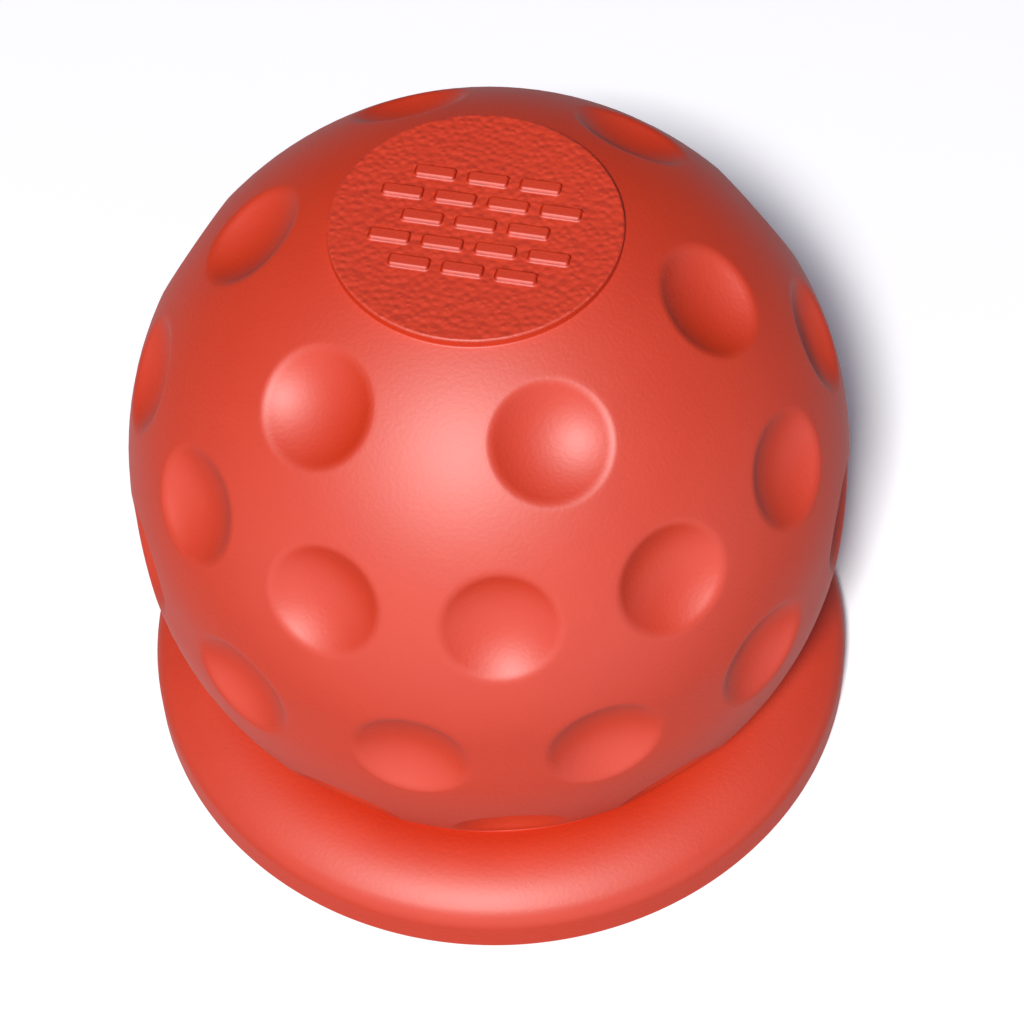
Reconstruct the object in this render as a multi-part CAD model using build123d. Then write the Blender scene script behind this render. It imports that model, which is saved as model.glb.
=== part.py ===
from build123d import *

# Cover for a 50 mm tow ball, one moulded piece of soft rubber.
# A dimpled ball-shaped body stands on a crowned collar. A flat round button with low grip bars
# closes the top, and a socket for the tow ball opens through the base.
# Millimetres. +Z is the axis, the base face lies on Z = 0 and the front is -Y.
import os
from math import cos, radians, sin, sqrt

# Tow ball and the socket that slips over it
tow_ball_diameter = 50.0
socket_clearance = 0.2  # on the radius
mouth_lead_in = 2.0

# Ball-shaped body: two half spheres with a straight band between them
body_radius = 40.0
band_height = 5.0
neck_wall = 5.0  # round the socket, where the body meets the collar

# Flat round button on top
button_radius = 15.4
button_step = 1.0  # how far its edge stands out of the body
button_chamfer = 0.4

# Grip bars on the button, in staggered rows
bar_length = 4.2
bar_width = 1.5
bar_relief = 0.4
bar_pitch = 5.6  # along a row
bar_row_pitch = 3.1
bar_rows = 5
bar_field_radius = 13.0  # bars that would reach further out are left off

# Collar at the base
collar_radius = 41.0
collar_height = 8.8  # where the crown leaves the body's neck, level
crown_drop = 4.5  # how far the crown falls from there to the collar's outside
collar_shoulder_radius = 3.4
collar_base_chamfer = 0.8

# Dimples
dimple_mouth_radius = 6.3
dimple_depth = 1.9  # below the plane of the mouth
dimple_rim_chamfer = 0.3
dimples_per_row = 12  # the top row has half as many
top_row_angle = 38.3  # from the pole
middle_row_angle = 65.3
front_azimuth = -90.0

# Worked out from the sizes above
socket_radius = tow_ball_diameter / 2 + socket_clearance
neck_radius = socket_radius + neck_wall
lower_centre_height = collar_height + sqrt(body_radius**2 - neck_radius**2)
dome_centre_height = lower_centre_height + band_height
band_middle_height = lower_centre_height + band_height / 2
seat_height = band_middle_height  # centre of the tow ball
socket_top_height = seat_height + socket_radius
button_root_height = dome_centre_height + sqrt(body_radius**2 - button_radius**2)
button_height = button_root_height + button_step
mouth_plane = sqrt(body_radius**2 - dimple_mouth_radius**2)
dimple_ball_radius = (dimple_mouth_radius**2 + dimple_depth**2) / (2 * dimple_depth)
dimple_ball_distance = mouth_plane + dimple_ball_radius - dimple_depth
dimple_turn = 360.0 / dimples_per_row
crown_run = collar_radius - neck_radius
crown_radius = (crown_run**2 + crown_drop**2) / (2 * crown_drop)


def section_box(radius, low, high):
    """A rectangle of the half section, from the axis out to radius."""
    return Plane.XZ * Pos(radius / 2, (low + high) / 2) * Rectangle(radius, high - low)


def section_disc(radius, centre_height):
    """A full disc of the section, centred on the axis."""
    return Plane.XZ * Pos(0, centre_height) * Circle(radius)


def corner(section, radius, height):
    """The section's corner nearest to a point."""
    target = Vector(radius, 0, height)
    return min(section.vertices(), key=lambda vertex: (Vector(*vertex) - target).length)


def body_section():
    """Half section of the ball-shaped body and its button."""
    right_side = section_box(body_radius, 0, button_root_height)
    upper = section_disc(body_radius, dome_centre_height)
    lower = section_disc(body_radius, lower_centre_height)
    band = section_box(body_radius, lower_centre_height, dome_centre_height)
    button = section_box(button_radius, dome_centre_height, button_height)
    section = ((upper + lower + band) & right_side) + button
    return chamfer(corner(section, button_radius, button_height), button_chamfer)


def collar_section():
    """Half section of the collar, crowned on top and rounded outside."""
    crown_end = (collar_radius, collar_height - crown_drop)
    crown_start = (neck_radius, collar_height)
    with BuildSketch(Plane.XZ) as sketch:
        with BuildLine():
            Polyline(crown_start, (0, collar_height), (0, 0), (collar_radius, 0), crown_end)
            RadiusArc(crown_end, crown_start, -crown_radius)
        make_face()
    section = fillet(corner(sketch.sketch, *crown_end), collar_shoulder_radius)
    return chamfer(corner(section, collar_radius, 0), collar_base_chamfer)


def socket_section():
    """Half section of the socket: lead-in, straight bore and a 45 degree seat on the tow ball."""
    mouth_radius = socket_radius + mouth_lead_in
    seat_reach = socket_radius * sqrt(2)  # a 45 degree line that touches the ball
    bore_top = seat_height + seat_reach - socket_radius
    top_radius = seat_height + seat_reach - socket_top_height
    with BuildSketch(Plane.XZ) as section:
        with BuildLine():
            Polyline(
                (0, 0),
                (mouth_radius, 0),
                (socket_radius, mouth_lead_in),
                (socket_radius, bore_top),
                (top_radius, socket_top_height),
                (0, socket_top_height),
                close=True,
            )
        make_face()
    return section.sketch


def dimple_row(pole_angle, centre_height, count, first_turn):
    """Cutting balls of one row, each with its seam turned away from the body."""
    balls = []
    for number in range(count):
        azimuth = radians(front_azimuth + first_turn + number * 360 / count)
        level = Vector(cos(azimuth), sin(azimuth), 0)
        outward = level * sin(radians(pole_angle)) + Vector(0, 0, cos(radians(pole_angle)))
        centre = Vector(0, 0, centre_height) + outward * dimple_ball_distance
        seat = Plane(origin=centre, x_dir=outward, z_dir=Vector(0, 0, 1).cross(level))
        balls.append(seat * Sphere(dimple_ball_radius))
    return balls


def dimple_balls():
    """Cutting balls of all four rows, from the top down."""
    half_turn = dimple_turn / 2
    balls = dimple_row(top_row_angle, dome_centre_height, dimples_per_row // 2, half_turn)
    balls += dimple_row(middle_row_angle, dome_centre_height, dimples_per_row, 0)
    balls += dimple_row(90, band_middle_height, dimples_per_row, half_turn)
    balls += dimple_row(180 - middle_row_angle, lower_centre_height, dimples_per_row, 0)
    return balls


def dimpled_body():
    """The turned body with all its dimples, their rims broken by a small chamfer."""
    balls = dimple_balls()
    body = revolve(body_section(), Axis.Z).rotate(Axis.Z, dimple_turn / 2) - balls
    rims = []
    for edge in body.edges():
        point = edge.position_at(0.4)
        nearest = min(abs((point - ball.center()).length - dimple_ball_radius) for ball in balls)
        if nearest < 0.01:
            rims.append(edge)
    return chamfer(rims, dimple_rim_chamfer)


def grip_bars():
    """Staggered low bars on the button, in line with a gap between two top dimples."""
    bars = []
    line_up = Rot(0, 0, -dimple_turn / 2)
    bar = extrude(Rectangle(bar_length, bar_width), bar_relief + button_step)
    for row in range(bar_rows):
        across = (row - (bar_rows - 1) / 2) * bar_row_pitch
        for number in range(-3, 4):
            along = (number + (row % 2) / 2) * bar_pitch
            if Vector(abs(along) + bar_length / 2, across).length < bar_field_radius:
                bars.append(line_up * Pos(along, across, button_height - button_step) * bar)
    return bars


def ball_cover():
    """The cover: dimpled body and collar in one, with grip bars and socket."""
    cover = dimpled_body() + revolve(collar_section(), Axis.Z)
    cover = cover + grip_bars()
    return cover - revolve(socket_section(), Axis.Z)


os.makedirs("parts", exist_ok=True)
cover = ball_cover()
cover.label = "ball_cover"
print("height", round(cover.bounding_box().size.Z, 2), "volume", round(cover.volume / 1000, 1), "cm3")
export_step(cover, "parts/ball_cover.step")
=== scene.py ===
# %% [markdown]
# # A rubber cover for a tow ball
# The real cover is one moulding of soft, satin, red-orange rubber. It looks like a golf ball that
# stands on a thick round collar. This file builds its surface, gives it the rubber finish, and
# sets up a plain studio to look at it in. The first cell loads the solid that the surface has to
# match.

import math

import bmesh
import bpy
import numpy as np
from mathutils import Matrix, Vector
from mathutils.geometry import delaunay_2d_cdt


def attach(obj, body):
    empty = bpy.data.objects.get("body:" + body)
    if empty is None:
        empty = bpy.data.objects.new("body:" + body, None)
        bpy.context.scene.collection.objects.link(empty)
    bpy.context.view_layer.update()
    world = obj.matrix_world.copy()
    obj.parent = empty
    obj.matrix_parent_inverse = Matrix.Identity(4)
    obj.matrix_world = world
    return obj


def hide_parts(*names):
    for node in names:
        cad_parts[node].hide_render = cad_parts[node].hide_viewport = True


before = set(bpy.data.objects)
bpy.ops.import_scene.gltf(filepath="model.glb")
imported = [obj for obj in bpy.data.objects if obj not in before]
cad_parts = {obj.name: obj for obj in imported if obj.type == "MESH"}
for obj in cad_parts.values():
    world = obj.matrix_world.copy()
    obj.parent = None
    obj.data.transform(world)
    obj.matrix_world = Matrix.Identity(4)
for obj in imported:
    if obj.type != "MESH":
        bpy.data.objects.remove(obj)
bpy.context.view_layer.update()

# %% [markdown]
# ## Sizes
# A moulding like this one is drawn as a turned form: one outline spun round an upright axis. So a
# few radii and heights say nearly all of it. All sizes are in millimetres, with the base at 0.
# Each value that follows from others is worked out, so the parts stay together.

# %% Sizes in millimetres
METRES = 0.001
SOCKET_RADIUS = 25.2
MOUTH_LEAD_IN = 2.0
BODY_RADIUS = 40.0
BAND_HEIGHT = 5.0
NECK_WALL = 5.0
BUTTON_RADIUS = 15.4
BUTTON_STEP = 1.0
COLLAR_RADIUS = 41.0
COLLAR_HEIGHT = 8.8
CROWN_TOP_RADIUS = 33.6
CROWN_RADIUS = 9.7
SHOULDER_RADIUS = 3.4

neck_radius = SOCKET_RADIUS + NECK_WALL
lower_centre = COLLAR_HEIGHT + math.sqrt(BODY_RADIUS**2 - neck_radius**2)
upper_centre = lower_centre + BAND_HEIGHT
band_middle = lower_centre + BAND_HEIGHT / 2
button_height = upper_centre + math.sqrt(BODY_RADIUS**2 - BUTTON_RADIUS**2) + BUTTON_STEP
print("button top at", round(button_height, 2), "mm")
print("the ball meets the collar at a radius of", round(neck_radius, 2), "mm")

# %% [markdown]
# ## Where the dimples are
# The mould has four rows of round hollows: twelve round the middle of the ball, twelve above
# them, twelve below, and six near the button. Each hollow is part of a sphere, so it has a mouth
# radius and a depth, and a direction in which it points. The rim of a hollow is never knife-sharp
# in rubber, so it gets a small blend.

# %% Directions of the dimples
DIMPLE_MOUTH_RADIUS = 6.3
DIMPLE_DEPTH = 1.9
RIM_BLEND = 0.5
DIMPLES_PER_ROW = 12
TOP_ROW_ANGLE = 38.3
MIDDLE_ROW_ANGLE = 65.3
FRONT = -90.0  # direction of the front, in degrees round the axis

mouth_plane = math.sqrt(BODY_RADIUS**2 - DIMPLE_MOUTH_RADIUS**2)
hollow_radius = (DIMPLE_MOUTH_RADIUS**2 + DIMPLE_DEPTH**2) / (2 * DIMPLE_DEPTH)
hollow_distance = mouth_plane + hollow_radius - DIMPLE_DEPTH
turn = 360 / DIMPLES_PER_ROW
ROWS = [
    (TOP_ROW_ANGLE, upper_centre, DIMPLES_PER_ROW // 2, turn / 2),
    (MIDDLE_ROW_ANGLE, upper_centre, DIMPLES_PER_ROW, 0),
    (90, band_middle, DIMPLES_PER_ROW, turn / 2),
    (180 - MIDDLE_ROW_ANGLE, lower_centre, DIMPLES_PER_ROW, 0),
]


def dimple_list():
    """Each dimple as its centre on the axis and three directions: outward, sideways and up."""
    dimples = []
    for pole_angle, centre_height, count, first_turn in ROWS:
        tilt = math.radians(pole_angle)
        for number in range(count):
            azimuth = math.radians(FRONT + first_turn + number * 360 / count)
            level = np.array([math.cos(azimuth), math.sin(azimuth), 0])
            outward = level * math.sin(tilt) + np.array([0, 0, math.cos(tilt)])
            sideways = np.array([-math.sin(azimuth), math.cos(azimuth), 0])
            up = np.cross(outward, sideways)
            dimples.append((np.array([0, 0, centre_height]), outward, sideways, up))
    return dimples


dimples = dimple_list()
print(len(dimples), "dimples on spheres of", round(hollow_radius, 1), "mm radius")

# %% [markdown]
# ## The plain ball and how a dimple is pressed into it
# A place on the ball is given by how far round it is and how far down the outline it is. From
# there the point in space follows. A dimple is pressed in by moving points along the dimple's own
# direction, down to its sphere. Where the two surfaces meet, a smooth minimum rounds the rim.

# %% Plain ball and pressed dimples
RIM_REACH = 2.0  # how far past a dimple's mouth its blend is looked for
SLOPE_STEP = 0.01  # between the points that a normal is measured from

quarter_run = BODY_RADIUS * math.pi / 2


def turned_angle(run):
    """Angle from the pole for a distance down the outline, a right angle all along the band."""
    past_band = np.maximum(run - BAND_HEIGHT, quarter_run)
    return np.where(run < quarter_run, run, past_band) / BODY_RADIUS


def ball_points(azimuth, run):
    """Points of the plain ball from angles round the axis and distances down the outline."""
    angle = turned_angle(run)
    drop = np.clip(run - quarter_run, 0, BAND_HEIGHT)
    radius = BODY_RADIUS * np.sin(angle)
    height = upper_centre - drop + BODY_RADIUS * np.cos(angle)
    return np.column_stack([radius * np.cos(azimuth), radius * np.sin(azimuth), height])


def press_dimples(points):
    """Moves the points that lie in a dimple down to the dimple's surface."""
    pressed = points.copy()
    for centre, outward, _, _ in dimples:
        along = (points - centre) @ outward
        across = np.linalg.norm(points - centre - np.outer(along, outward), axis=1)
        near = (across < DIMPLE_MOUTH_RADIUS + RIM_REACH) & (along > 0)
        hollow = hollow_distance - np.sqrt(hollow_radius**2 - across[near] ** 2)
        blend = np.maximum(RIM_BLEND - np.abs(along[near] - hollow), 0) ** 2 / (4 * RIM_BLEND)
        reach = np.minimum(along[near], hollow) - blend
        pressed[near] += np.outer(reach - along[near], outward)
    return pressed


def dimpled_points(azimuth, run):
    """Points of the dimpled ball, from the same two numbers as on the plain one."""
    return press_dimples(ball_points(azimuth, run))


def ball_surface(azimuth, run):
    """Points and outward normals of the dimpled ball."""
    points = dimpled_points(azimuth, run)
    down = dimpled_points(azimuth, run + SLOPE_STEP) - dimpled_points(azimuth, run - SLOPE_STEP)
    turned = SLOPE_STEP / np.hypot(points[:, 0], points[:, 1])
    level = dimpled_points(azimuth + turned, run) - dimpled_points(azimuth - turned, run)
    normals = np.cross(down, level)
    return points, normals / np.linalg.norm(normals, axis=1, keepdims=True)


deepest = dimpled_points(
    np.array([math.radians(FRONT + turn / 2)]), np.array([quarter_run + BAND_HEIGHT / 2])
)
floor_radius = float(np.linalg.norm(deepest[0][:2]))
print("floor of a middle dimple is", round(floor_radius, 2), "mm from the axis")

# %% [markdown]
# ## A map for the mesh
# Dimple rims need small triangles and the smooth ball between them does not. So the points are
# placed as rings round each dimple, close together at the rim, and a loose pattern between.
# They are joined on a flat map of the ball by Delaunay's rule, which avoids thin triangles. The
# map is Mercator's, which keeps angles true, so the rule works as well on the ball as on the map.
# The pattern repeats every 60 degrees, so one slice is made and then turned six times.

# %% The map and back
SLICE_DEGREES = 60.0
SLICE_START = FRONT - turn / 2

slice_width = math.radians(SLICE_DEGREES)


def outline_run(points):
    """Distance down the outline for points on the plain ball."""
    above = np.arccos(np.clip((points[:, 2] - upper_centre) / BODY_RADIUS, -1, 1))
    below = np.arccos(np.clip((points[:, 2] - lower_centre) / BODY_RADIUS, -1, 1))
    on_band = quarter_run + upper_centre - points[:, 2]
    run = np.where(points[:, 2] > upper_centre, above * BODY_RADIUS, on_band)
    return np.where(points[:, 2] < lower_centre, below * BODY_RADIUS + BAND_HEIGHT, run)


def map_height(run):
    """Mercator height of a distance down the outline."""
    band_run = np.clip(run - quarter_run, 0, BAND_HEIGHT)
    return np.log(np.tan(turned_angle(run) / 2)) + band_run / BODY_RADIUS


def map_run(height):
    """Distance down the outline of a Mercator height."""
    band = BAND_HEIGHT / BODY_RADIUS
    angle = 2 * np.arctan(np.exp(np.where(height < 0, height, np.maximum(height - band, 0))))
    return BODY_RADIUS * angle + np.clip(height, 0, band) * BODY_RADIUS


map_ends = map_height(np.array([BUTTON_RADIUS, quarter_run + BAND_HEIGHT]))
print("map from", np.round(map_ends, 2), "for the button's foot and the foot of the band")

# %% [markdown]
# ## Rings and field
# A ring is a circle of points at one distance from a dimple's middle. Thirteen rings lie close
# together where the rim bends. On the straight band a dimple's mouth is a little taller than wide,
# so its rings are too. Between the dimples the points stand in staggered rows, as in a sheet of
# equal triangles.

# %% Points of one slice
AROUND = 360  # points on every circle round the axis
FIELD_SPACING = 2.0
ROW_STEP = 0.87  # rows of equal triangles are this share of their sides apart
TOP_GAP, BOTTOM_GAP = 0.6, 0.5  # between the field and the two ends of the ball
RIM_RINGS = [5.2, 5.55, 5.75, 5.9, 6.0, 6.1, 6.2, 6.3, 6.4, 6.5, 6.62, 6.8, 7.2]
RINGS = [(0, 1), (1.3, 12), (2.6, 24), (3.9, 36)]  # radius and number of points
RINGS += [(radius, 72) for radius in RIM_RINGS] + [(7.9, 36)]
BAND_OVAL = 0.0625  # how much taller than wide the rings on the band are
KEEP_CLEAR = 8.9  # from a dimple's middle to the nearest point of the field
SEAM_SLACK = 1e-7  # radians by which a point on the slice's edge may miss it
SEAM_SNAP = 1e-6


def ring_points(dimple):
    """Rings of points round one dimple, on the plain ball."""
    centre, outward, sideways, up = dimple
    half_band = BAND_HEIGHT / 2 if centre[2] == band_middle else 0
    points = []
    for radius, count in RINGS:
        for number in range(count):
            angle = 2 * math.pi * number / count
            oval = 1 + BAND_OVAL * math.sin(angle) ** 2 if half_band else 1
            side = radius * oval * math.cos(angle)
            rise = radius * oval * math.sin(angle)
            past_band = max(abs(rise) - half_band, 0)
            reach = math.sqrt(BODY_RADIUS**2 - side**2 - past_band**2)
            points.append(centre + side * sideways + rise * up + reach * outward)
    return np.array(points)


def field_points(top_run, bottom_run):
    """A loose staggered pattern between the dimples, as map places."""
    places = []
    run = top_run + TOP_GAP
    row = 0
    while run < bottom_run - BOTTOM_GAP:
        from_pole = min(run, 2 * quarter_run + BAND_HEIGHT - run, quarter_run)
        radius = BODY_RADIUS * math.sin(from_pole / BODY_RADIUS)
        count = round(radius * slice_width / FIELD_SPACING)
        shift = 0.5 if row % 2 else 0
        for number in range(count + 1 - row % 2):
            places.append((slice_width * (number + shift) / count, run))
        run += FIELD_SPACING * ROW_STEP
        row += 1
    return np.array(places)


def slice_places(top_run, bottom_run):
    """All map places of one slice: its two edges, the dimples' rings and the field."""
    start = math.radians(SLICE_START)
    rings = np.vstack([ring_points(dimple) for dimple in dimples])
    azimuth = np.arctan2(rings[:, 1], rings[:, 0]) - start
    azimuth = (azimuth + SEAM_SLACK) % (2 * math.pi) - SEAM_SLACK
    ring_places = np.column_stack([azimuth, outline_run(rings)])
    ring_places = ring_places[azimuth < slice_width + SEAM_SLACK]
    field = field_points(top_run, bottom_run)
    field_space = ball_points(field[:, 0] + start, field[:, 1])
    clear = np.ones(len(field), bool)
    for centre, outward, _, _ in dimples:
        along = (field_space - centre) @ outward
        across = np.linalg.norm(field_space - centre - np.outer(along, outward), axis=1)
        clear &= (across > KEEP_CLEAR) | (along < 0)
    edge_azimuth = np.linspace(0, slice_width, round(AROUND * SLICE_DEGREES / 360) + 1)
    edges = [
        np.column_stack([edge_azimuth, np.full(len(edge_azimuth), run)])
        for run in (top_run, bottom_run)
    ]
    places = np.vstack(edges + [ring_places, field[clear]])
    places[np.abs(places[:, 0]) < SEAM_SNAP, 0] = 0
    places[np.abs(places[:, 0] - slice_width) < SEAM_SNAP, 0] = slice_width
    return places


print(len(RINGS), "rings round each dimple, of", sum(count for _, count in RINGS), "points")

# %% [markdown]
# ## The ball's mesh
# The ball runs from the small hollow rounding at the foot of the button to the one in the groove
# over the collar. The centre of the lower one is where two wider circles of the outline meet. One
# slice is joined on the map, and its points are then pressed and given their normals six times,
# each time turned by 60 degrees.

# %% Mesh of the dimpled ball
BUTTON_ROOT_RADIUS = 0.2
NECK_FILLET = 0.4
MAP_WELD = 1e-6


def ball_slices(top_run, bottom_run):
    """Points, normals and triangles of the whole dimpled ball between two places on its outline."""
    places = slice_places(top_run, bottom_run)
    flat = [Vector(place) for place in zip(places[:, 0], map_height(places[:, 1]))]
    joined = delaunay_2d_cdt(flat, [], [], 0, MAP_WELD)
    azimuth = np.array([place.x for place in joined[0]])
    run = map_run(np.array([place.y for place in joined[0]]))
    triangles = np.array([list(face)[::-1] for face in joined[2]])
    points, normals, faces = [], [], []
    for number in range(round(360 / SLICE_DEGREES)):
        turned = azimuth + math.radians(SLICE_START + number * SLICE_DEGREES)
        slice_points, slice_normals = ball_surface(turned, run)
        points.append(slice_points)
        normals.append(slice_normals)
        faces += (triangles + number * len(run)).tolist()
    return np.vstack(points), np.vstack(normals), faces


def meeting_point(centre_a, radius_a, centre_b, radius_b):
    """The outer one of the two points where two circles of the outline meet."""
    a, b = np.array(centre_a), np.array(centre_b)
    gap = np.linalg.norm(b - a)
    along = (radius_a**2 - radius_b**2 + gap**2) / (2 * gap)
    side = math.sqrt(radius_a**2 - along**2)
    direction = (b - a) / gap
    across = np.array([-direction[1], direction[0]])
    options = [a + along * direction + side * across, a + along * direction - side * across]
    return max(options, key=lambda option: option[0])


root_x = BUTTON_RADIUS + BUTTON_ROOT_RADIUS
root_z = upper_centre + math.sqrt((BODY_RADIUS + BUTTON_ROOT_RADIUS) ** 2 - root_x**2)
top_run = BODY_RADIUS * math.asin(root_x / (BODY_RADIUS + BUTTON_ROOT_RADIUS))
crown_centre = (CROWN_TOP_RADIUS, COLLAR_HEIGHT - CROWN_RADIUS)
neck_centre = meeting_point(
    (0, lower_centre), BODY_RADIUS + NECK_FILLET, crown_centre, CROWN_RADIUS + NECK_FILLET
)
neck_angle = math.atan2(neck_centre[0], neck_centre[1] - lower_centre)
bottom_run = BODY_RADIUS * neck_angle + BAND_HEIGHT
ball = ball_slices(top_run, bottom_run)
print("dimpled ball:", len(ball[0]), "points and", len(ball[2]), "triangles")

# %% [markdown]
# ## The turned parts: button edge, collar, base and socket
# What has no dimples is spun from a list of outline points. Every bend is an arc, sampled with
# its true normal, so the light runs over it evenly however few points it has. The socket is
# hidden in use: a straight bore for a 50 mm tow ball, a lead-in at its mouth and a sloping seat.

# %% Arcs, and how an outline is spun


def arc(centre, radius, start, end, steps, hollow=False):
    """Outline points on an arc, angles in degrees from outward to up, each with its normal."""
    points = []
    for number in range(steps + 1):
        angle = math.radians(start + (end - start) * number / steps)
        out, up = math.cos(angle), math.sin(angle)
        sign = -1 if hollow else 1
        points.append((centre[0] + radius * out, centre[1] + radius * up, sign * out, sign * up))
    return points


def spin(outline, closed_at_end=False):
    """Points, normals and faces of an outline spun round the axis, as quads."""
    outline = np.array(outline)
    azimuth = math.radians(SLICE_START) + np.arange(AROUND) * 2 * math.pi / AROUND
    cos, sin = np.cos(azimuth), np.sin(azimuth)
    points = [np.column_stack([r * cos, r * sin, np.full(AROUND, z)]) for r, z, _, _ in outline]
    normals = [np.column_stack([n * cos, n * sin, np.full(AROUND, nz)]) for _, _, n, nz in outline]
    faces = []
    for ring in range(len(outline) - 1):
        for number in range(AROUND):
            a, b = ring * AROUND + number, ring * AROUND + (number + 1) % AROUND
            faces.append([a, a + AROUND, b + AROUND, b])
    if closed_at_end:
        last = (len(outline) - 1) * AROUND
        faces.append([last + number for number in reversed(range(AROUND))])
    return np.vstack(points), np.vstack(normals), faces


test_arc = arc((0, 0), 1, 0, 90, 2)
print("a quarter turn in two steps passes", np.round(test_arc[1][:2], 3))

# %% [markdown]
# ## Outlines of the button's edge and the collar
# The collar is a thick bead: a wide arc over its crown, a smaller one at its shoulder, an upright
# side and a small rounding at its base. Each arc starts in the direction in which the last one
# ended, so no crease shows in the highlight.

# %% Button edge and collar
BUTTON_EDGE_RADIUS = 0.25
BASE_EDGE_RADIUS = 0.9

root_angle = math.degrees(math.atan2(root_z - upper_centre, root_x))
edge_centre = (BUTTON_RADIUS - BUTTON_EDGE_RADIUS, button_height - BUTTON_EDGE_RADIUS)
button_edge = arc(edge_centre, BUTTON_EDGE_RADIUS, 90, 0, 6)
button_edge += arc((root_x, root_z), BUTTON_ROOT_RADIUS, 180, 180 + root_angle, 6, hollow=True)

shoulder_x = COLLAR_RADIUS - SHOULDER_RADIUS
inner = CROWN_RADIUS - SHOULDER_RADIUS
shoulder_z = crown_centre[1] + math.sqrt(inner**2 - (shoulder_x - crown_centre[0]) ** 2)


def direction(start, end):
    """Direction in degrees from one point of the outline to another."""
    return math.degrees(math.atan2(end[1] - start[1], end[0] - start[0]))


shoulder_angle = direction(crown_centre, (shoulder_x, shoulder_z))
neck_up = direction(neck_centre, (0, lower_centre))
neck_down = direction(neck_centre, crown_centre) + 360
crown_top = direction(crown_centre, neck_centre)
collar = arc(neck_centre, NECK_FILLET, neck_up, neck_down, 8, hollow=True)
collar += arc(crown_centre, CROWN_RADIUS, crown_top, shoulder_angle, 16)[1:]
collar += arc((shoulder_x, shoulder_z), SHOULDER_RADIUS, shoulder_angle, 0, 10)[1:]
collar += arc((COLLAR_RADIUS - BASE_EDGE_RADIUS, BASE_EDGE_RADIUS), BASE_EDGE_RADIUS, 0, -90, 6)
print("crown of the collar runs from", round(crown_top), "to", round(shoulder_angle), "degrees")

# %% [markdown]
# ## Outline of the socket
# From the base inward the outline is a chain of straight runs: the flat base, the lead-in, the
# bore, the sloping seat and the roof. A moulded corner is never sharp, so each gets a small arc.

# %% Socket
EDGE_RADIUS = 0.3

mouth_radius = SOCKET_RADIUS + MOUTH_LEAD_IN
seat_reach = SOCKET_RADIUS * math.sqrt(2)
socket_top = band_middle + SOCKET_RADIUS
seat_start = band_middle + seat_reach - SOCKET_RADIUS
seat_end_radius = band_middle + seat_reach - socket_top


def rounded_corner(before, corner, after, radius, steps=4):
    """Outline points that round the corner between two straight runs."""
    before, corner, after = (np.array(point, float) for point in (before, corner, after))
    back = (before - corner) / np.linalg.norm(before - corner)
    ahead = (after - corner) / np.linalg.norm(after - corner)
    half = math.acos(np.clip(back @ ahead, -1, 1)) / 2
    middle = (back + ahead) / np.linalg.norm(back + ahead)
    centre = corner + middle * radius / math.sin(half)
    first, last = corner + back * radius / math.tan(half), corner + ahead * radius / math.tan(half)
    start = math.degrees(math.atan2(*(first - centre)[::-1]))
    end = math.degrees(math.atan2(*(last - centre)[::-1]))
    end += 360 * round((start - end) / 360)
    turns_in = back[0] * ahead[1] - back[1] * ahead[0] <= 0
    return arc(centre, radius, start, end, steps, hollow=turns_in)


socket_corners = [
    (COLLAR_RADIUS - BASE_EDGE_RADIUS, 0),
    (mouth_radius, 0),
    (SOCKET_RADIUS, MOUTH_LEAD_IN),
    (SOCKET_RADIUS, seat_start),
    (seat_end_radius, socket_top),
    (0, socket_top),
]
for before, corner, after in zip(socket_corners, socket_corners[1:], socket_corners[2:]):
    collar += rounded_corner(before, corner, after, EDGE_RADIUS)
turned_parts = [spin(button_edge), spin(collar, closed_at_end=True)]
print("turned outlines:", len(button_edge), "and", len(collar), "points")

# %% [markdown]
# ## The button plate and its grip bars
# The flat top of the button carries low staggered bars. A bar is a rounded rectangle with soft
# sides, as a mould makes it. Its height is worked out from the distance to its edge, and rings
# of points follow that edge, so the soft sides show and the flat parts stay light.

# %% Button plate
BAR_LENGTH = 4.2
BAR_WIDTH = 1.5
BAR_CORNER = 0.35
BAR_RELIEF = 0.4
BAR_SIDE = 0.22
BAR_PITCH = 5.6
BAR_ROW_PITCH = 3.1
BAR_ROWS = 5
BAR_FIELD_RADIUS = 13.0


def bar_centres():
    """Centres of the grip bars on the plate, before they are turned into line."""
    centres = []
    for row in range(BAR_ROWS):
        across = (row - (BAR_ROWS - 1) / 2) * BAR_ROW_PITCH
        for number in range(-3, 4):
            along = (number + (row % 2) / 2) * BAR_PITCH
            if math.hypot(abs(along) + BAR_LENGTH / 2, across) < BAR_FIELD_RADIUS:
                centres.append((along, across))
    return np.array(centres)


def bar_distance(places):
    """Distance from each place on the plate to the nearest bar's edge, negative inside a bar."""
    half = np.array([BAR_LENGTH / 2 - BAR_CORNER, BAR_WIDTH / 2 - BAR_CORNER])
    nearest = np.full(len(places), 99.0)
    for centre in bar_centres():
        out = np.abs(places - centre) - half
        outside = np.linalg.norm(np.maximum(out, 0), axis=1)
        distance = outside + np.minimum(out.max(axis=1), 0) - BAR_CORNER
        nearest = np.minimum(nearest, distance)
    return nearest


def plate_height(places):
    """Height of the plate above its ground: 0 between the bars and the full relief on them."""
    part = np.clip((BAR_SIDE - bar_distance(places)) / (2 * BAR_SIDE), 0, 1)
    return BAR_RELIEF * part * part * (3 - 2 * part)


print(len(bar_centres()), "grip bars,", BAR_RELIEF, "mm high")

# %% [markdown]
# ## Points and mesh of the plate
# The points follow the plate's edge, the edges of the bars and a loose field between, and are
# joined by Delaunay's rule again. Each then gets its height and its normal.

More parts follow.
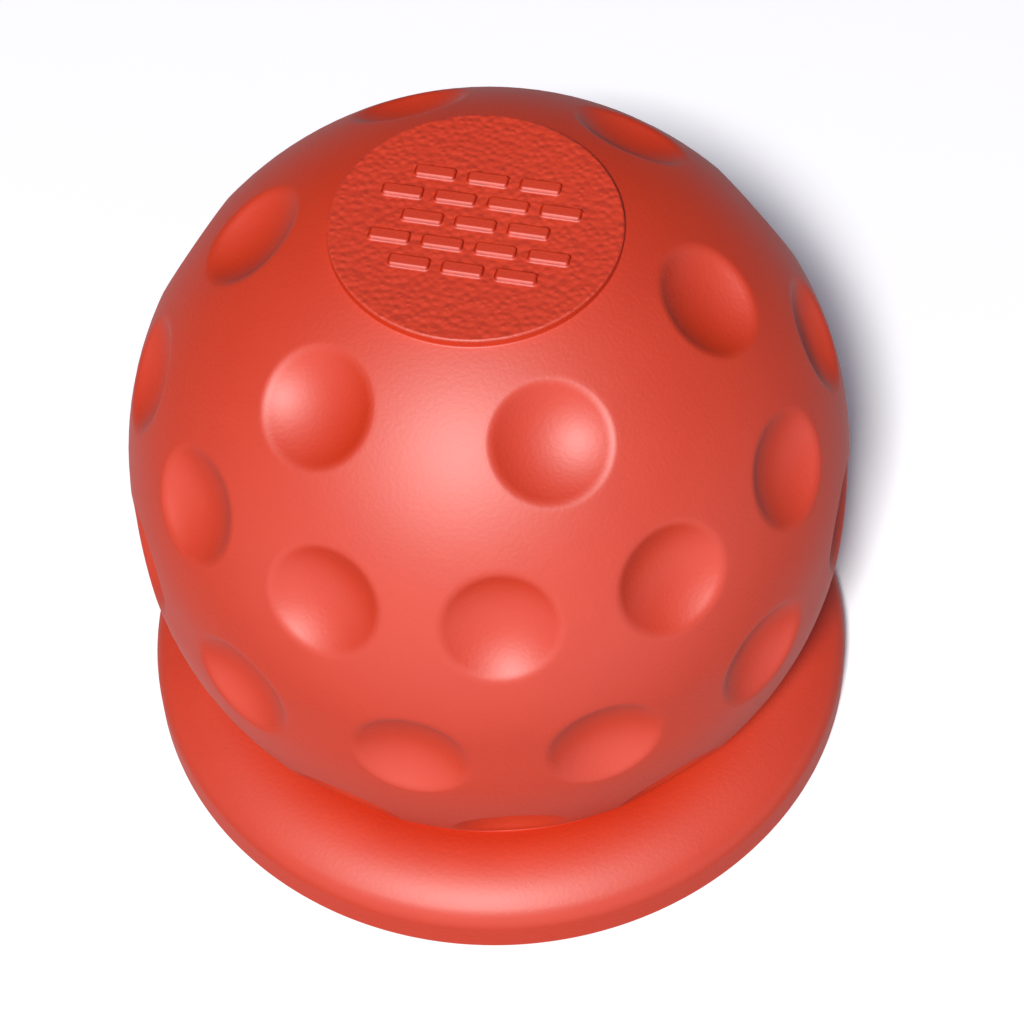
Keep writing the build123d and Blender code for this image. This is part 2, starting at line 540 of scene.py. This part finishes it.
# %% Mesh of the plate
PLATE_SPACING = 1.2
PLATE_WELD = 1e-4
PLATE_RINGS = [(0, AROUND), (0.4, AROUND // 2), (1.1, AROUND // 4)]  # inset and number of points
FIELD_INSET = 1.9
BAR_CLEAR = 1.0  # from a bar's edge to the nearest point of the field
BAR_OFFSETS = [-0.3, -0.2, -0.12, -0.04, 0.04, 0.12, 0.2, 0.32, 0.6]
BAR_SPACING = 0.45
BAR_SPINE = np.arange(-1.5, 1.6, 0.5)  # points along the middle of a bar
BAR_CORNER_STEPS = 4
BAR_SIDES = [((1, 1), (-1, 0)), ((-1, 1), (0, -1)), ((-1, -1), (1, 0)), ((1, -1), (0, 1))]


def bar_outline(offset):
    """Points round a bar's edge, moved outward by offset: a corner, then a side, four times."""
    corner = BAR_CORNER + offset
    half_length, half_width = BAR_LENGTH / 2 - BAR_CORNER, BAR_WIDTH / 2 - BAR_CORNER
    points = []
    for index, ((x, y), way) in enumerate(BAR_SIDES):
        for number in range(BAR_CORNER_STEPS + 1):
            angle = math.radians(90 * index + 90 * number / BAR_CORNER_STEPS)
            out, up = corner * math.cos(angle), corner * math.sin(angle)
            points.append((x * half_length + out, y * half_width + up))
        side = 2 * (half_length if index % 2 == 0 else half_width)
        steps = max(round(side / BAR_SPACING), 1)
        start = np.array(points[-1])
        points += [tuple(start + np.array(way) * side * step / steps) for step in range(1, steps)]
    return np.array(points)


def plate_places():
    """All places of the plate: its edge, rings inside it, the bars' outlines and the field."""
    edge_radius = BUTTON_RADIUS - BUTTON_EDGE_RADIUS
    places = []
    for inset, count in PLATE_RINGS:
        radius = edge_radius - inset
        azimuth = math.radians(SLICE_START) + np.arange(count) * 2 * math.pi / count
        places.append(np.column_stack([radius * np.cos(azimuth), radius * np.sin(azimuth)]))
    for centre in bar_centres():
        places += [bar_outline(offset) + centre for offset in BAR_OFFSETS]
        places.append(centre + np.array([[x, 0] for x in BAR_SPINE]))
    steps = np.arange(-13, 14) * PLATE_SPACING
    field = np.array(
        [
            (x + (row % 2) * PLATE_SPACING / 2, y * ROW_STEP)
            for row, y in enumerate(steps)
            for x in steps
        ]
    )
    clear = np.linalg.norm(field, axis=1) < edge_radius - FIELD_INSET
    clear &= bar_distance(field) > BAR_CLEAR
    return np.vstack(places + [field[clear]])


def button_plate():
    """Points, normals and triangles of the flat top with its bars."""
    flat = [Vector(place) for place in plate_places()]
    joined = delaunay_2d_cdt(flat, [], [], 0, PLATE_WELD)
    places = np.array([tuple(place) for place in joined[0]])
    step = SLOPE_STEP
    slope_x = plate_height(places + [step, 0]) - plate_height(places - [step, 0])
    slope_y = plate_height(places + [0, step]) - plate_height(places - [0, step])
    normals = np.column_stack([-slope_x, -slope_y, np.full(len(places), 2 * step)])
    normals /= np.linalg.norm(normals, axis=1, keepdims=True)
    points = np.column_stack([places, button_height + plate_height(places)])
    line_up = np.array(Matrix.Rotation(math.radians(-turn / 2), 3, "Z"))
    return points @ line_up.T, normals @ line_up.T, [list(face) for face in joined[2]]


plate = button_plate()
print("button plate:", len(plate[0]), "points and", len(plate[2]), "triangles")

# %% [markdown]
# ## One watertight piece
# The four surfaces share the same number of points round their common edges, so welding points
# that fall together closes the piece. The true normals are kept through the weld and then given
# to the mesh, which makes the highlight as even as on a real moulding.

# %% Weld the surfaces into the cover
WELD_DISTANCE = 0.002


def welded_piece(name, surfaces):
    """A new mesh object from several surfaces, welded where their points meet."""
    build = bmesh.new()
    true_normal = build.verts.layers.float_vector.new("true_normal")
    for points, normals, faces in surfaces:
        made = []
        for point, normal in zip(points, normals):
            vertex = build.verts.new(Vector(point) * METRES)
            vertex[true_normal] = Vector(normal)
            made.append(vertex)
        for face in faces:
            build.faces.new([made[index] for index in face]).smooth = True
    bmesh.ops.remove_doubles(build, verts=build.verts, dist=WELD_DISTANCE * METRES)
    open_edges = sum(1 for edge in build.edges if not edge.is_manifold)
    print(name, "has", len(build.verts), "points and", len(build.faces), "faces")
    print("open edges:", open_edges)
    mesh = bpy.data.meshes.new(name)
    build.to_mesh(mesh)
    build.free()
    normals = np.zeros(len(mesh.vertices) * 3)
    mesh.attributes["true_normal"].data.foreach_get("vector", normals)
    mesh.normals_split_custom_set_from_vertices(normals.reshape(-1, 3))
    mesh.attributes.remove(mesh.attributes["true_normal"])
    piece = bpy.data.objects.new(name, mesh)
    bpy.context.scene.collection.objects.link(piece)
    return piece


cover = welded_piece("rubber_cover", [ball, plate] + turned_parts)
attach(cover, "root")
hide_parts("ball_cover")

# %% [markdown]
# ## Satin moulded rubber
# The cover is a soft thermoplastic rubber, dyed right through and moulded in a tool with a fine
# spark-eroded grain. To the eye that means a saturated red-orange, a broad soft highlight with no
# mirror image in it, and a very slight unevenness of colour. Rubber bends light by about 1.52.
# Colours are written as on a colour card and turned to linear light by one function, and one more
# function adds a node with its settings and links, so a material reads as a list.

# %% Helpers for materials


def linear(hex_colour):
    """An sRGB hex colour as linear red, green, blue and alpha."""
    channels = [int(hex_colour[start:start + 2], 16) / 255 for start in (1, 3, 5)]
    return [c / 12.92 if c <= 0.04045 else ((c + 0.055) / 1.055) ** 2.4 for c in channels] + [1.0]


def add_node(tree, kind, inputs=None, **settings):
    """Adds a node with its settings, and fills or links its inputs."""
    node = tree.nodes.new(kind)
    for setting, value in settings.items():
        setattr(node, setting, value)
    for socket, value in (inputs or {}).items():
        if isinstance(value, bpy.types.NodeSocket):
            tree.links.new(value, node.inputs[socket])
        else:
            node.inputs[socket].default_value = value
    return node


def new_material(name):
    """An empty node material and its node tree."""
    material = bpy.data.materials.new(name)
    material.use_nodes = True
    material.node_tree.nodes.clear()
    return material, material.node_tree


print("red of the rubber in linear light:", round(linear("#D23206")[0], 3))

# %% [markdown]
# ## Where the stipple is
# Only the flat ground of the button is stippled. Its height tells it from the bars above it and
# the ball below it, so a height in the part's own frame serves as a mask that moves with the part.

# %% Mask of the button's ground
GROUND_SLACK = 0.1
MASK_FADE = 0.0001  # metres


def on_button_ground(tree, place):
    """A value that is 1 on the button's flat ground and 0 elsewhere."""
    height = add_node(tree, "ShaderNodeSeparateXYZ", {"Vector": place}).outputs["Z"]
    low = (button_height - GROUND_SLACK) * METRES
    high = (button_height + GROUND_SLACK) * METRES
    above, below = (
        add_node(
            tree, "ShaderNodeMapRange", {"Value": height, "From Min": start, "From Max": end}
        ).outputs["Result"]
        for start, end in ((low - MASK_FADE, low), (high + MASK_FADE, high))
    )
    return add_node(tree, "ShaderNodeMath", {0: above, 1: below}, operation="MULTIPLY").outputs[0]


print("the ground lies at", round(button_height, 2), "mm")

# %% [markdown]
# ## Grain, bloom and colour
# The grain of the mould is drawn as a bump, since it is far too low for the outline. A
# spark-eroded grain is 0.05 to 0.1 mm across, too fine to show here, so it is drawn coarser. The
# stipple is about half a millimetre on the real button and is drawn wider for the same cause.
# Such rubber carries a thin waxy bloom. It is made as a rough coat that shows where the surface
# faces the eye and fades at the sides, where the red stays deep.

# %% Rubber material
GRAIN_SIZE = 0.45
GRAIN_DEPTH = 0.08
STIPPLE_SIZE = 0.8
STIPPLE_DEPTH = 0.3
MOTTLE_SIZE = 9.0  # patches of slightly stronger dye


def satin_moulded_rubber():
    """Red-orange rubber with a fine mould grain, and a coarser stipple on the button plate."""
    material, tree = new_material("satin_moulded_rubber")
    place = add_node(tree, "ShaderNodeTexCoord").outputs["Object"]
    mottle = add_node(
        tree,
        "ShaderNodeTexNoise",
        {"Vector": place, "Scale": 1 / (MOTTLE_SIZE * METRES), "Detail": 4.0},
    ).outputs["Fac"]
    colour = add_node(
        tree,
        "ShaderNodeMix",
        {"Factor": mottle, 6: linear("#D23206"), 7: linear("#DC3C0E")},
        data_type="RGBA",
    ).outputs[2]
    grain = add_node(
        tree,
        "ShaderNodeTexNoise",
        {"Vector": place, "Scale": 1 / (GRAIN_SIZE * METRES), "Detail": 2.0},
    ).outputs["Fac"]
    pits = add_node(
        tree,
        "ShaderNodeTexVoronoi",
        {"Vector": place, "Scale": 1 / (STIPPLE_SIZE * METRES), "Smoothness": 0.6},
        feature="SMOOTH_F1",
    ).outputs["Distance"]
    ground = on_button_ground(tree, place)
    stipple = add_node(
        tree, "ShaderNodeMath", {0: pits, 1: ground}, operation="MULTIPLY"
    ).outputs[0]
    grained = add_node(
        tree,
        "ShaderNodeBump",
        {"Height": grain, "Strength": 0.8, "Distance": GRAIN_DEPTH * METRES},
    ).outputs["Normal"]
    stippled = add_node(
        tree,
        "ShaderNodeBump",
        {
            "Height": stipple,
            "Strength": 0.8,
            "Distance": STIPPLE_DEPTH * METRES,
            "Normal": grained,
        },
        invert=True,
    ).outputs["Normal"]
    rough = add_node(
        tree, "ShaderNodeMapRange", {"Value": mottle, "To Min": 0.54, "To Max": 0.62}
    ).outputs["Result"]
    facing = add_node(tree, "ShaderNodeLayerWeight", {"Blend": 0.5}).outputs["Facing"]
    bloom = add_node(
        tree,
        "ShaderNodeMapRange",
        {"Value": facing, "From Min": 0.1, "From Max": 0.55, "To Min": 1.0, "To Max": 0.0},
        interpolation_type="SMOOTHSTEP",
    ).outputs["Result"]
    shader = add_node(
        tree,
        "ShaderNodeBsdfPrincipled",
        {
            "Base Color": colour,
            "Roughness": rough,
            "IOR": 1.52,
            "Specular IOR Level": 0.4,
            "Coat Weight": bloom,
            "Coat Roughness": 0.55,
            "Coat IOR": 1.75,
            "Normal": stippled,
        },
    )
    add_node(tree, "ShaderNodeOutputMaterial", {"Surface": shader.outputs["BSDF"]})
    return material


cover.data.materials.append(satin_moulded_rubber())
print("rubber grain", GRAIN_SIZE, "mm, button stipple", STIPPLE_SIZE, "mm")

# %% [markdown]
# ## Floor and surround
# The cover stands on a plain pale floor. The camera and the reflections see it white. The light
# that it throws back on the cover comes from a greyer paint, so the underside of the ball keeps
# its shade. A weak, slightly cool surround fills what the lamp doesn't reach.

# %% Floor and surround
FLOOR_SIZE = 6.0
FLOOR_GAP = 0.00005  # metres under the base, so that the two faces don't fall together
FLOOR_GLOW = 0.12
FILL_LEVEL = 0.13


def pale_floor():
    """A large pale floor just under the base, white to the camera where it is fully lit."""
    bpy.ops.mesh.primitive_plane_add(size=FLOOR_SIZE, location=(0, 0, -FLOOR_GAP))
    floor = bpy.context.object
    floor.name = "studio_floor"
    material, tree = new_material("pale_floor_paint")
    paint = add_node(tree, "ShaderNodeBsdfDiffuse", {"Color": linear("#989AB0")})
    white = add_node(tree, "ShaderNodeBsdfDiffuse", {"Color": linear("#FFFFFF")})
    glow = add_node(
        tree, "ShaderNodeEmission", {"Color": linear("#FFFFFF"), "Strength": FLOOR_GLOW}
    )
    both = add_node(tree, "ShaderNodeAddShader", {0: white.outputs[0], 1: glow.outputs[0]})
    path = add_node(tree, "ShaderNodeLightPath").outputs
    seen = path["Is Camera Ray"]
    for ray in ("Is Glossy Ray", "Is Transmission Ray"):
        larger = add_node(tree, "ShaderNodeMath", {0: seen, 1: path[ray]}, operation="MAXIMUM")
        seen = larger.outputs[0]
    choice = add_node(
        tree, "ShaderNodeMixShader", {0: seen, 1: paint.outputs[0], 2: both.outputs[0]}
    )
    add_node(tree, "ShaderNodeOutputMaterial", {"Surface": choice.outputs[0]})
    floor.data.materials.append(material)
    return floor


def pale_surround(level, colour):
    """A plain surround of one colour that fills the shade."""
    world = bpy.data.worlds.new("pale_surround")
    world.use_nodes = True
    tree = world.node_tree
    tree.nodes.clear()
    fill = add_node(tree, "ShaderNodeBackground", {"Color": linear(colour), "Strength": level})
    add_node(tree, "ShaderNodeOutputWorld", {"Surface": fill.outputs[0]})
    bpy.context.scene.world = world


pale_floor()
pale_surround(FILL_LEVEL, "#C0BCF2")
print("floor", FLOOR_SIZE, "m wide, fill level", FILL_LEVEL)

# %% [markdown]
# ## Lamp
# One soft square lamp hangs in nearly the camera's direction, a little to its left. So the
# highlight sits near the middle of the ball and the shadow falls to the right.

# %% Lamp
KEY_AZIMUTH, KEY_ELEVATION = -103.5, 51  # degrees
KEY_DISTANCE, KEY_SIZE = 2.5, 0.3  # metres
KEY_WATTS = 69.0


def soft_lamp(name, place, target, size, watts):
    """A square area lamp at a place in metres that points at a target."""
    lamp = bpy.data.lights.new(name, "AREA")
    lamp.size = size
    lamp.energy = watts
    lamp_object = bpy.data.objects.new(name, lamp)
    lamp_object.location = place
    to_target = Vector(target) - Vector(place)
    lamp_object.rotation_euler = to_target.to_track_quat("-Z", "Y").to_euler()
    bpy.context.scene.collection.objects.link(lamp_object)


def sphere_place(azimuth, elevation, distance):
    """A place in metres round the middle of the cover, from angles in degrees."""
    around, up = math.radians(azimuth), math.radians(elevation)
    out = distance * math.cos(up)
    height = distance * math.sin(up) + upper_centre * METRES
    return (out * math.cos(around), out * math.sin(around), height)


aim = (0, 0, upper_centre * METRES)
key_place = sphere_place(KEY_AZIMUTH, KEY_ELEVATION, KEY_DISTANCE)
soft_lamp("key_lamp", key_place, aim, KEY_SIZE, KEY_WATTS)
print("key lamp at", [round(value, 2) for value in key_place], "m")

# %% [markdown]
# ## Camera
# The camera was fitted to the outline of the ball and to the middles of twelve dimples. It looks
# down at the front from about 53 degrees and leans a little. It stands only ten times the ball's
# radius away, so the collar looks smaller than it is. The shift places the cover in the frame.

# %% Camera
VIEW_ELEVATION = 52.7
VIEW_ROLL = -3.5
VIEW_RADII = 10.08  # distance as a multiple of the ball's radius
VIEW_DISTANCE = VIEW_RADII * BODY_RADIUS * METRES
SENSOR_WIDTH = 36.0
PHOTO_PIXELS = 1024
PIXELS_PER_RADIUS = 358.8
CENTRE_PIXEL = (489.0, 447.0)


def photo_camera():
    """The camera at the photograph's angle: from the front, looking down, slightly rolled."""
    up_angle, roll = math.radians(VIEW_ELEVATION), math.radians(VIEW_ROLL)
    right = Vector((1, 0, 0))
    up = Vector((0, math.sin(up_angle), math.cos(up_angle)))
    ahead = Vector((0, math.cos(up_angle), -math.sin(up_angle)))
    rolled_right = right * math.cos(roll) + up * math.sin(roll)
    rolled_up = up * math.cos(roll) - right * math.sin(roll)
    data = bpy.data.cameras.new("photo_camera")
    data.sensor_width = SENSOR_WIDTH
    data.lens = SENSOR_WIDTH * PIXELS_PER_RADIUS * VIEW_RADII / PHOTO_PIXELS
    data.shift_x = (PHOTO_PIXELS / 2 - CENTRE_PIXEL[0]) / PHOTO_PIXELS
    data.shift_y = (CENTRE_PIXEL[1] - PHOTO_PIXELS / 2) / PHOTO_PIXELS
    camera = bpy.data.objects.new("photo_camera", data)
    turned = Matrix((rolled_right, rolled_up, -ahead)).transposed().to_4x4()
    camera.matrix_world = Matrix.Translation(Vector(aim) - ahead * VIEW_DISTANCE) @ turned
    bpy.context.scene.collection.objects.link(camera)
    bpy.context.scene.camera = camera
    return camera


camera = photo_camera()
bpy.context.scene.view_settings.view_transform = "Standard"
print("lens", round(camera.data.lens, 1), "mm, distance", round(VIEW_DISTANCE, 3), "m")
